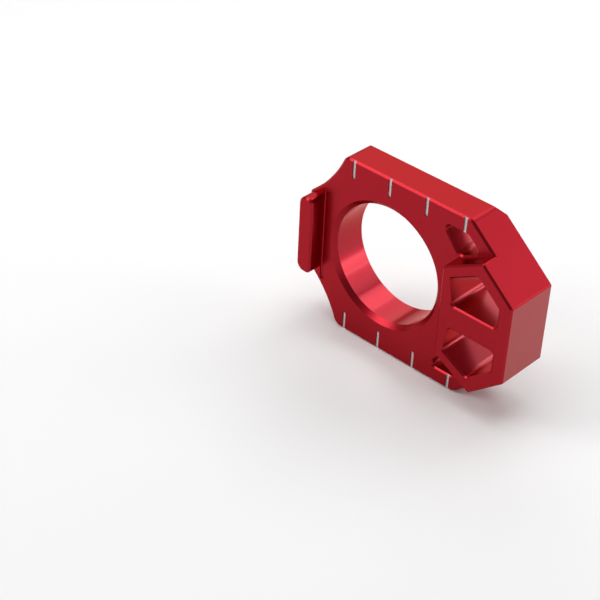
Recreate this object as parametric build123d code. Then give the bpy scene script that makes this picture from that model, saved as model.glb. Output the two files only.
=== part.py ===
from build123d import *
import os
from math import sqrt, hypot

os.makedirs("parts", exist_ok=True)

# Chain adjuster block of a motorcycle rear axle, in millimetres.
# X runs along the block towards the six-sided end, Y along the axle,
# Z across the block. The marked outer face looks towards -Y. The origin
# is on the bore axis, halfway through the plate that slides in the swingarm.

# --- thickness, measured outwards from the flat inner face ---
plate_thickness = 8.6
pad_height = 3.5              # raised pad at the six-sided end, above the marked face
lip_height = 3.15             # lip at the neck end, above the marked face

# --- outline seen along the axle ---
half_width = 19.55            # bore axis to each long sliding side
corner_x = 19.1               # where the long sides end and the slanting sides begin
end_x = 32.4                  # flat at the six-sided end
end_half_width = 8.3          # half the height of that flat
neck_corner_x = 11.25         # where the long sides end at the neck
neck_end_x = 19.65            # end face of the neck
neck_half_width = 8.2         # half the height of that end face
shoulder_radius = 26.0        # hollow curve from the end face to the long side
long_corner_radius = 2.0
shoulder_corner_radius = 1.9
end_corner_radius = 0.6
neck_corner_radius = 1.0

# --- axle bore ---
bore_diameter = 25.2
bore_front_chamfer = 0.95
bore_back_chamfer = 0.6

# --- raised pad ---
pad_inner_x = 16.4            # wall of the pad that faces the axle head
pad_inner_radius = 0.8
pad_tip_radius = 0.45         # upright edge where the flank meets the slanting side
flank_margin = 0.5            # ledge between the flank of the pad and the small pocket

# --- lip ---
lip_thickness = 3.6
lip_half_width = 8.65
lip_outer_radius = 2.0
lip_inner_radius = 1.3

# --- relief groove at the foot of the lip, so that the axle head seats right up to the wall ---
relief_gap = 0.1              # narrow ledge between the wall and the groove
relief_width = 1.0
relief_depth = 0.35
relief_half_length = 10.6
relief_floor_radius = 0.25

# --- through pockets, one small and one large on each side of the middle line ---
centre_rib = 5.2              # rib on the middle line, between the two large pockets
outer_wall = 2.9              # wall left along the slanting sides and the end flat
rib_slope = 0.535             # rise of the slanting ribs over their run
rib_width = 2.95              # slanting rib between a large and a small pocket
rib_start_x = 18.05           # inner end of the large pocket on the slanting rib
rib_start_z = 8.0
large_inner_x = 19.15         # inner end of the large pocket on the middle rib
large_pocket_radius = 0.9
small_wall = 3.45             # wall between the small pocket and the long side
small_top_x = 12.85           # inner end of the small pocket beside the long side
small_low_x = 17.2            # inner end of the small pocket beside the rib
small_pocket_radius = 0.8
small_wide_radius = 1.5       # at the pocket's two blunt corners
pocket_chamfer = 0.3

# --- index marks cut across both edges of the marked face ---
mark_pitch = 8.9
mark_width = 0.7
mark_length = 4.05
mark_depth = 0.25

# --- broken outer edges ---
front_chamfer = 0.4
back_chamfer = 0.4
long_back_chamfer = 2.0       # lead-in along both sliding sides, on the inner face
pad_edge_chamfer = 0.35


inner_face = Plane.XZ.offset(-plate_thickness / 2)


def mirrored(points):
    """The same points on the other side of the middle line."""
    return [(x, -z) for x, z in points]


def prism(face, start, stop):
    """Body between two distances from the inner face."""
    return extrude(inner_face.offset(start) * face, stop - start)


def flare(face, level, depth, outward):
    """Countersunk edge of a pocket, opening towards one face."""
    if outward:
        return extrude(inner_face.offset(level - depth) * face, depth, taper=-45)
    return extrude(inner_face.offset(level + depth) * face, -depth, taper=-45)


def rounded(points, radii):
    """Closed polygon with a rounding of its own at each corner."""
    face = make_face(Polyline(*points, close=True))
    for (x, z), radius in zip(points, radii):
        if radius > 0:
            corner = face.vertices().sort_by_distance((x, z, 0))[0]
            face = fillet(corner, radius)
    return face


# --- outline ---
shoulder_start = (-neck_end_x, neck_half_width)
shoulder_end = (-neck_corner_x, half_width)
run = shoulder_end[0] - shoulder_start[0]
rise = shoulder_end[1] - shoulder_start[1]
chord = hypot(run, rise)
sagitta = shoulder_radius - sqrt(shoulder_radius ** 2 - chord ** 2 / 4)
shoulder_mid = (
    (shoulder_start[0] + shoulder_end[0]) / 2 + sagitta * rise / chord,
    (shoulder_start[1] + shoulder_end[1]) / 2 - sagitta * run / chord,
)

side = [
    shoulder_end,
    (corner_x, half_width),
    (end_x, end_half_width),
    (end_x, -end_half_width),
    (corner_x, -half_width),
    (-neck_corner_x, -half_width),
]
edges = Polyline(*side)
edges += ThreePointArc(side[-1], (shoulder_mid[0], -shoulder_mid[1]), mirrored([shoulder_start])[0])
edges += Line(mirrored([shoulder_start])[0], shoulder_start)
edges += ThreePointArc(shoulder_start, shoulder_mid, shoulder_end)
outline = make_face(edges)
for point, radius in (
    ((corner_x, half_width), long_corner_radius),
    ((end_x, end_half_width), end_corner_radius),
    ((-neck_corner_x, half_width), shoulder_corner_radius),
    ((-neck_end_x, neck_half_width), neck_corner_radius),
):
    for sign in (1, -1):
        corner = outline.vertices().sort_by_distance((point[0], sign * point[1], 0))[0]
        outline = fillet(corner, radius)

plate = prism(outline, 0, plate_thickness)
front_edges = plate.faces().sort_by(Axis.Y)[0].edges()
plate = chamfer(front_edges, front_chamfer)
back_edges = plate.faces().sort_by(Axis.Y)[-1].edges()
plate = chamfer(back_edges, back_chamfer)
lead_in = make_face(Polyline(
    (plate_thickness / 2, half_width - long_back_chamfer),
    (plate_thickness / 2 + 1, half_width - long_back_chamfer),
    (plate_thickness / 2 + 1, half_width + 1),
    (plate_thickness / 2 - long_back_chamfer, half_width + 1),
    (plate_thickness / 2 - long_back_chamfer, half_width),
    close=True,
))
lead_in = Pos(-neck_end_x) * extrude(Plane.YZ * lead_in, neck_end_x + end_x)
plate = plate - lead_in - mirror(lead_in, about=Plane.XY)

# --- lines that the ribs, the pockets and the pad share ---
rib_lean = sqrt(1 + rib_slope ** 2)


def rib_line(x, offset):
    """Height of a line beside the slanting rib, offset across the rib."""
    return rib_start_z + rib_slope * (x - rib_start_x) + offset * rib_lean


side_run = end_x - corner_x
side_drop = half_width - end_half_width
side_length = hypot(side_run, side_drop)
side_nx, side_nz = side_drop / side_length, side_run / side_length
side_reach = side_nx * end_x + side_nz * end_half_width


def rib_meets_side(offset, wall):
    """Corner between a line beside the rib and the inside of the slanting wall."""
    base = rib_start_z - rib_slope * rib_start_x + offset * rib_lean
    x = (side_reach - wall - side_nz * base) / (side_nx + side_nz * rib_slope)
    return (x, rib_line(x, offset))


# --- raised pad over the two large pockets ---
flank_offset = rib_width - flank_margin
pad_top = rib_meets_side(flank_offset, -4.0)
pad_corner = (pad_inner_x, rib_line(pad_inner_x, flank_offset))
pad_points = [pad_corner, pad_top, (pad_top[0] + 20, pad_top[1])]
pad_points += mirrored(pad_points)[::-1]
pad_radii = [pad_inner_radius, 0, 0, 0, 0, pad_inner_radius]
pad_face = rounded(pad_points, pad_radii) & outline
for sign in (1, -1):
    flank_end = rib_meets_side(flank_offset, 0)
    tip = pad_face.vertices().sort_by_distance((flank_end[0], sign * flank_end[1], 0))[0]
    pad_face = fillet(tip, pad_tip_radius)
pad = prism(pad_face, plate_thickness / 2, plate_thickness + pad_height)
pad = chamfer(pad.faces().sort_by(Axis.Y)[0].edges(), pad_edge_chamfer)

# --- lip at the neck ---
lip_inner_x = -neck_end_x + lip_thickness
lip_points = [
    (-neck_end_x, lip_half_width),
    (lip_inner_x, lip_half_width),
    (lip_inner_x, -lip_half_width),
    (-neck_end_x, -lip_half_width),
]
lip_radii = [lip_outer_radius, lip_inner_radius, lip_inner_radius, lip_outer_radius]
lip = prism(rounded(lip_points, lip_radii), plate_thickness / 2, plate_thickness + lip_height)
lip = chamfer(lip.faces().sort_by(Axis.Y)[0].edges(), front_chamfer)

block = plate + pad + lip

# --- axle bore with its countersunk mouths ---
bore_radius = bore_diameter / 2
total = plate_thickness + max(pad_height, lip_height)
bore = prism(Circle(bore_radius), -1, total + 1)
front_mouth = flare(Circle(bore_radius), plate_thickness, bore_front_chamfer, True)
back_mouth = flare(Circle(bore_radius), 0, bore_back_chamfer, False)
block = block - bore - front_mouth - back_mouth

# --- through pockets ---
inner_end = end_x - outer_wall
half_rib = centre_rib / 2
side_low = (side_reach - outer_wall - side_nx * inner_end) / side_nz
large = [
    (large_inner_x, half_rib),
    (inner_end, half_rib),
    (inner_end, side_low),
    rib_meets_side(0, outer_wall),
    (rib_start_x, rib_start_z),
]
large_radii = [large_pocket_radius] * 3 + [large_pocket_radius * 1.4, large_pocket_radius]
top_z = half_width - small_wall
small = [
    (small_top_x, top_z),
    ((side_reach - outer_wall - side_nz * top_z) / side_nx, top_z),
    rib_meets_side(rib_width, outer_wall),
    (small_low_x, rib_line(small_low_x, rib_width)),
]
small_radii = [small_pocket_radius, small_wide_radius, small_pocket_radius, small_wide_radius]

for points, radii, level in (
    (large, large_radii, plate_thickness + pad_height),
    (small, small_radii, plate_thickness),
):
    for corners in (points, mirrored(points)):
        opening = rounded(corners, radii)
        block = block - prism(opening, -1, total + 1)
        block = block - flare(opening, level, pocket_chamfer, True)
        block = block - flare(opening, 0, pocket_chamfer, False)

# --- index marks ---
for step in (-1, 0, 1, 2):
    for sign in (1, -1):
        reach = mark_length - mark_width / 2
        centre_z = sign * (half_width - reach / 2 + 1)
        groove = Pos(step * mark_pitch, centre_z) * Rectangle(mark_width, reach + 2)
        groove += Pos(step * mark_pitch, sign * (half_width - reach)) * Circle(mark_width / 2)
        block = block - prism(groove, plate_thickness - mark_depth, plate_thickness + 1)

# --- relief groove ---
relief_x = lip_inner_x + relief_gap + relief_width / 2
relief = Pos(relief_x, 0) * SlotOverall(relief_half_length * 2, relief_width, rotation=90)
relief = prism(relief, plate_thickness - relief_depth, plate_thickness + 1)
relief = fillet(relief.faces().sort_by(Axis.Y)[-1].edges(), relief_floor_radius)
block = block - relief

block = block.solids()[0] if len(block.solids()) == 1 else block
block.label = "axle_block"
export_step(block, "parts/axle_block.step")
print("solids", len(block.solids()), "volume mm3", round(block.volume, 1))
print("box", block.bounding_box())
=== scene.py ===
# %% [markdown]
# # Rear axle block of a motorcycle chain adjuster
#
# The block slides in the axle slot of a swingarm. Turning the adjuster bolt
# moves it along, and the marks on its face show how far. It is milled from
# one piece of aluminium, blasted to a fine satin and anodised red.
#
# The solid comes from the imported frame, in metres, with the bore axis along
# Y. This script only adds what the solid doesn't carry: the red finish, the
# bright floors of the index marks, the table it stands on, light and camera.

# %% Set-up
import bpy
from math import cos, radians, sin
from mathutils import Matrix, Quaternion, Vector


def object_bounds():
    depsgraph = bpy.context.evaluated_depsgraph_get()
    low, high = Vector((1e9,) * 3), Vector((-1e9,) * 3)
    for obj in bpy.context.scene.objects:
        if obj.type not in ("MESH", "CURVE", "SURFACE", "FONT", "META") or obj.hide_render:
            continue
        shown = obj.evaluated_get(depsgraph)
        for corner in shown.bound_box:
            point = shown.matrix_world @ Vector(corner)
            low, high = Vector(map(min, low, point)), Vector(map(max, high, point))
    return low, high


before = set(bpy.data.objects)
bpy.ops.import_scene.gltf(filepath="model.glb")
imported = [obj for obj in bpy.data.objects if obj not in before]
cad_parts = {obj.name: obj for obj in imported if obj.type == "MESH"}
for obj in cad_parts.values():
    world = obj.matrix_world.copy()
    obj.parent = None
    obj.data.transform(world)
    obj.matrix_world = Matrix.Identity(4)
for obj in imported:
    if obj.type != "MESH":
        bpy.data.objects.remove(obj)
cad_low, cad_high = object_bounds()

MM = 0.001
scene = bpy.context.scene
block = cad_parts["axle_block"]
print("block box in mm:", [round(v / MM, 2) for v in (*cad_low, *cad_high)])


# %% [markdown]
# ## Satin red anodising
#
# Anodising grows a clear, hard oxide skin on the metal and dyes it. Light
# passes the skin twice, so the metal below shines deep red, while the top of
# the skin gives a faint white gloss of its own. A plain red paint would lose
# the metal's shine, and a bare red metal would lose the white gloss. So the
# finish is a red metal below a thin clear coat. Seen almost along its
# surface the metal turns paler, which the specular tint gives.
#
# The cutter leaves the pockets and the bore smoother than the blasted
# outside. The pockets get a paler red, which is painted sheen, and the bore a
# brighter red, which is painted light; neither is in the dye. The pockets and
# the flat end show the white gloss most. One function makes all four finishes.
# Fine pits come from a noise in the bump.

# %% A helper that starts a material
def new_finish(name):
    """New material with its node tree and its surface shader."""
    finish = bpy.data.materials.new(name)
    finish.use_nodes = True
    tree = finish.node_tree
    shader = tree.nodes["Principled BSDF"]
    return finish, tree, shader


# %% The anodised finishes
ANODISED_RED = (0.36, 0.006, 0.016, 1.0)
# Pocket walls: the red made paler, which is painted sheen, not a paler dye.
PAINTED_SHEEN_PALER_RED = (0.36, 0.013, 0.026, 1.0)
# Bore: the red made brighter, which is painted light, not a brighter dye.
PAINTED_BRIGHTER_RED = (0.42, 0.008, 0.022, 1.0)
EDGE_RED = (0.9, 0.10, 0.15, 1.0)
SKIN_IOR = 1.5
PIT_SIZE_MM = 0.09
PIT_DEPTH_MM = 0.004


def anodised(name, dye_and_painted_light, roughness, gloss, gloss_roughness, pits_seen):
    """Red dyed metal below a clear oxide skin; for the pockets and the bore the red holds
    painted light.
    """
    finish, tree, shader = new_finish(name)
    shader.inputs["Base Color"].default_value = dye_and_painted_light
    shader.inputs["Specular Tint"].default_value = EDGE_RED
    shader.inputs["Metallic"].default_value = 1.0
    shader.inputs["Roughness"].default_value = roughness
    shader.inputs["Coat Weight"].default_value = gloss
    shader.inputs["Coat Roughness"].default_value = gloss_roughness
    shader.inputs["Coat IOR"].default_value = SKIN_IOR
    place = tree.nodes.new("ShaderNodeTexCoord")
    pits = tree.nodes.new("ShaderNodeTexNoise")
    pits.inputs["Scale"].default_value = 1.0 / (PIT_SIZE_MM * MM)
    pits.inputs["Detail"].default_value = 2.0
    bump = tree.nodes.new("ShaderNodeBump")
    bump.inputs["Strength"].default_value = pits_seen
    bump.inputs["Distance"].default_value = PIT_DEPTH_MM * MM
    tree.links.new(place.outputs["Object"], pits.inputs["Vector"])
    tree.links.new(pits.outputs["Fac"], bump.inputs["Height"])
    tree.links.new(bump.outputs["Normal"], shader.inputs["Normal"])
    print("finish", name)
    return finish


blasted = anodised(
    "anodised_blasted", ANODISED_RED,
    roughness=0.35, gloss=0.23, gloss_roughness=0.25, pits_seen=0.25,
)
# Pocket walls: smoother milled finish, with painted sheen in its paler red.
milled_painted_sheen = anodised(
    "anodised_milled_painted_sheen", PAINTED_SHEEN_PALER_RED,
    roughness=0.28, gloss=0.75, gloss_roughness=0.2, pits_seen=0.05,
)
# The bore: smoother turned finish, with painted light in its brighter red.
bore_painted_brighter = anodised(
    "anodised_bore_painted_brighter", PAINTED_BRIGHTER_RED,
    roughness=0.28, gloss=0.52, gloss_roughness=0.14, pits_seen=0.05,
)
glossy_end = anodised(
    "anodised_end", ANODISED_RED,
    roughness=0.36, gloss=1.0, gloss_roughness=0.3, pits_seen=0.25,
)


# %% [markdown]
# ## Bright index marks
#
# The marks are cut after anodising, so each groove shows bare aluminium.
# They could be thin strips laid into the grooves, but the grooves are
# already in the solid. It is enough to give their floors a finish of their
# own, which follows the cut edges exactly.

# %% Bare metal of the marks
BARE_METAL = (0.72, 0.74, 0.73, 1.0)
bare, tree, shader = new_finish("bare_aluminium")
shader.inputs["Base Color"].default_value = BARE_METAL
shader.inputs["Metallic"].default_value = 0.35
shader.inputs["Roughness"].default_value = 0.6
print("finish", bare.name)


# %% [markdown]
# ## Which face gets which finish
#
# The block is one solid, so each face is told apart by where it lies and
# which way it looks. Splitting it into pieces would leave seams. The floors
# of the marks look out of the marked face, a mark's depth below it. Milled
# walls stand square to that face and lie inside the outer sides. The limits
# are a little wider than the real sizes, so that no face at a rim is missed.

# %% Where the faces lie
MARK_DEPTH = 0.25 * MM
MARK_PITCH = 8.9 * MM
MARK_HALF_WIDTH = 0.35 * MM
MARK_REACH = 4.15 * MM
BORE_MOUTH_RADIUS = 13.0 * MM
POCKETS_FROM_X = 12.0 * MM
LONG_SIDE_END_X = 19.1 * MM
END_HALF_WIDTH = 8.3 * MM
SIDE_WALL = 1.0 * MM
TOLERANCE = 0.02 * MM

marked_face_y = -cad_high.y
mark_floor_y = marked_face_y + MARK_DEPTH
end_corner = Vector((cad_high.x, END_HALF_WIDTH))
along_slant = end_corner - Vector((LONG_SIDE_END_X, cad_high.z))
slant = Vector((-along_slant.y, along_slant.x)).normalized()
print("slanting side looks towards", [round(v, 3) for v in slant])

# %% Give each face its finish
BLASTED, MILLED, TURNED, GLOSSY_END, BARE = range(5)
STRAIGHT = 0.99
TILTED = 0.3


def finish_of(face):
    """Number of the finish of one face of the block."""
    centre = sum((mesh.vertices[i].co for i in face.vertices), Vector()) / len(face.vertices)
    height = abs(centre.z)
    mark = round(centre.x / MARK_PITCH)
    beside_mark = abs(centre.x - mark * MARK_PITCH)
    if face.normal.y < -STRAIGHT and abs(centre.y - mark_floor_y) < TOLERANCE:
        if beside_mark < MARK_HALF_WIDTH and height > cad_high.z - MARK_REACH:
            return BARE
    if face.normal.x > STRAIGHT and centre.x > cad_high.x - TOLERANCE:
        return GLOSSY_END
    if abs(face.normal.y) > TILTED:
        return BLASTED
    if Vector((centre.x, height)).length < BORE_MOUTH_RADIUS:
        return TURNED
    below_slant = slant.dot(end_corner - Vector((centre.x, height)))
    in_pocket = (
        centre.x > POCKETS_FROM_X
        and below_slant > SIDE_WALL
        and cad_high.x - centre.x > SIDE_WALL
        and cad_high.z - height > SIDE_WALL
    )
    return MILLED if in_pocket else BLASTED


mesh = block.data
mesh.materials.clear()
for finish in (blasted, milled_painted_sheen, bore_painted_brighter, glossy_end, bare):
    mesh.materials.append(finish)
counts = [0] * len(mesh.materials)
for face in mesh.polygons:
    face.material_index = finish_of(face)
    counts[face.material_index] += 1
print("faces blasted, milled, bore, end, marks:", counts)


# %% [markdown]
# ## The table and the background
#
# The photograph has a white ground with no horizon. A large plain sheet that
# lies under the block gives it a place to stand and takes its soft shadow.
# The lamps only light the middle of the sheet, so in a low view its far part
# would turn grey. More lamps would wash out the red. Instead the sheet shows
# a plain white of its own further out. Only the camera and the rays that
# metal mirrors see this white. It lights nothing else, and near the block
# the sheet stays ordinary paper.

# %% Helpers for the white background
def rays_that_see(tree):
    """Socket that is 1 for rays from the camera, a mirror or a glass."""
    ray = tree.nodes.new("ShaderNodeLightPath")
    direct = tree.nodes.new("ShaderNodeMath")
    every = tree.nodes.new("ShaderNodeMath")
    every.use_clamp = True
    tree.links.new(ray.outputs["Is Camera Ray"], direct.inputs[0])
    tree.links.new(ray.outputs["Is Glossy Ray"], direct.inputs[1])
    tree.links.new(direct.outputs[0], every.inputs[0])
    tree.links.new(ray.outputs["Is Transmission Ray"], every.inputs[1])
    return every.outputs[0]


def white_share(tree, measure, none_at, full_at):
    """Share of white, rising from none to full between two measures."""
    rise = tree.nodes.new("ShaderNodeMapRange")
    rise.inputs["From Min"].default_value = none_at
    rise.inputs["From Max"].default_value = full_at
    product = tree.nodes.new("ShaderNodeMath")
    product.operation = "MULTIPLY"
    tree.links.new(measure, rise.inputs["Value"])
    tree.links.new(rise.outputs["Result"], product.inputs[0])
    tree.links.new(rays_that_see(tree), product.inputs[1])
    return product.outputs[0]


# %% Table
TABLE_SIZE = 3.0
PAPER_WHITE = (0.95, 0.95, 0.95, 1.0)
PAPER_UP_TO = 0.12
WHITE_FROM = 0.32
bpy.ops.mesh.primitive_plane_add(size=TABLE_SIZE, location=(0, 0, cad_low.z))
table = bpy.context.object
table.name = "table"
paper, tree, shader = new_finish("white_paper")
shader.inputs["Base Color"].default_value = PAPER_WHITE
shader.inputs["Roughness"].default_value = 0.9
shader.inputs["Specular IOR Level"].default_value = 0.1

place = tree.nodes.new("ShaderNodeTexCoord")
distance = tree.nodes.new("ShaderNodeVectorMath")
distance.operation = "LENGTH"
tree.links.new(place.outputs["Object"], distance.inputs[0])
share = white_share(tree, distance.outputs["Value"], PAPER_UP_TO, WHITE_FROM)
white = tree.nodes.new("ShaderNodeEmission")
blend = tree.nodes.new("ShaderNodeMixShader")
tree.links.new(share, blend.inputs["Fac"])
tree.links.new(shader.outputs["BSDF"], blend.inputs[1])
tree.links.new(white.outputs["Emission"], blend.inputs[2])
tree.links.new(blend.outputs["Shader"], tree.nodes["Material Output"].inputs["Surface"])
table.data.materials.append(paper)
print("table at", round(cad_low.z / MM, 2), "mm")


# %% [markdown]
# ## The room
#
# A weak even light from all around keeps the shadows from turning black. One
# colour for the whole room would be simpler, but the horizon would then show
# as a grey edge above the sheet. So the lowest part of the room shows the
# same white as the sheet. Height here is the upward part of a ray's
# direction, from 0 at the horizon to 1 straight overhead.

# %% World
ROOM_LEVEL = 0.2
ROOM_FROM_HEIGHT = 0.25
WHITE_UP_TO_HEIGHT = 0.10
world = bpy.data.worlds.new("white_room")
world.use_nodes = True
scene.world = world
tree = world.node_tree
background = tree.nodes["Background"]
background.inputs["Color"].default_value = (1, 1, 1, 1)

direction = tree.nodes.new("ShaderNodeTexCoord")
upward = tree.nodes.new("ShaderNodeSeparateXYZ")
tree.links.new(direction.outputs["Generated"], upward.inputs[0])
share = white_share(tree, upward.outputs["Z"], ROOM_FROM_HEIGHT, WHITE_UP_TO_HEIGHT)
level = tree.nodes.new("ShaderNodeMapRange")
level.inputs["To Min"].default_value = ROOM_LEVEL
tree.links.new(share, level.inputs["Value"])
tree.links.new(level.outputs["Result"], background.inputs["Strength"])
print("room level", ROOM_LEVEL)


# %% [markdown]
# ## Light
#
# A small metal part is lit by what it mirrors. An even white light from all
# sides would be simpler, but it would make the metal look flat. So each soft
# box stands where one side of the block, seen from the camera, mirrors it.
#
# Three high boxes behind the block light its top, its slanting side and the
# rounding between them. The low one behind it shines through the pockets.
# The highest one behind and the low one at the right make the two bright
# streaks in the bore. The one at the front left draws the bright line along
# the top edge. The large box overhead is for the table, which the marked
# face mirrors. The side of the camera stays dark, and so do the chamfers
# that face it.

# %% Soft boxes
def soft_box(name, position, size, power):
    """Square area lamp that faces the block."""
    lamp = bpy.data.lights.new(name, "AREA")
    lamp.shape = "SQUARE"
    lamp.size = size
    lamp.energy = power
    holder = bpy.data.objects.new(name, lamp)
    holder.location = Vector(position)
    holder.rotation_mode = "QUATERNION"
    holder.rotation_quaternion = (-Vector(position)).to_track_quat("-Z", "Y")
    scene.collection.objects.link(holder)
    print(name, "at", position)


soft_box("back_high", (0.0, 0.30, 0.40), 0.24, 0.44)
soft_box("back_left", (-0.27, 0.30, 0.29), 0.30, 0.40)
soft_box("back_right", (0.29, 0.30, 0.27), 0.26, 0.27)
soft_box("back_low", (0.14, 0.46, 0.12), 0.24, 0.40)
soft_box("right_low", (0.38, 0.31, 0.10), 0.18, 0.24)
soft_box("front_left", (-0.27, -0.29, 0.30), 0.22, 0.68)
soft_box("overhead", (-0.05, -0.05, 0.50), 0.40, 1.16)


# %% [markdown]
# ## Camera
#
# The camera stands to the right of the marked face and looks down at about
# 35 degrees with a long lens. It leans a little, as the photograph does. Its
# place is given as a direction and a distance from a point near the block,
# so each of the values can be checked by eye on its own.

# %% Camera
AIM_MM = Vector((-10.25, -16.19, -7.34))
DISTANCE_MM = 312.7
AZIMUTH = radians(41.84)
ELEVATION = radians(35.45)
LEAN = radians(2.77)
LENS_MM = 97.4
SENSOR_MM = 36.0

outward = Vector((
    sin(AZIMUTH) * cos(ELEVATION),
    -cos(AZIMUTH) * cos(ELEVATION),
    sin(ELEVATION),
))
camera_data = bpy.data.cameras.new("camera")
camera_data.lens = LENS_MM
camera_data.sensor_width = SENSOR_MM
camera_data.clip_start = 10 * MM
camera = bpy.data.objects.new("camera", camera_data)
camera.location = (AIM_MM + outward * DISTANCE_MM) * MM
camera.rotation_mode = "QUATERNION"
level = (-outward).to_track_quat("-Z", "Y")
camera.rotation_quaternion = level @ Quaternion((0, 0, 1), LEAN)
scene.collection.objects.link(camera)
scene.camera = camera
print("camera at", [round(v / MM, 1) for v in camera.location])


# %% [markdown]
# ## Sizes
#
# Finishes mustn't change the size of the block. Near its start the script
# prints the box of the bare solid.

# %% View transform
scene.view_settings.view_transform = "Standard"
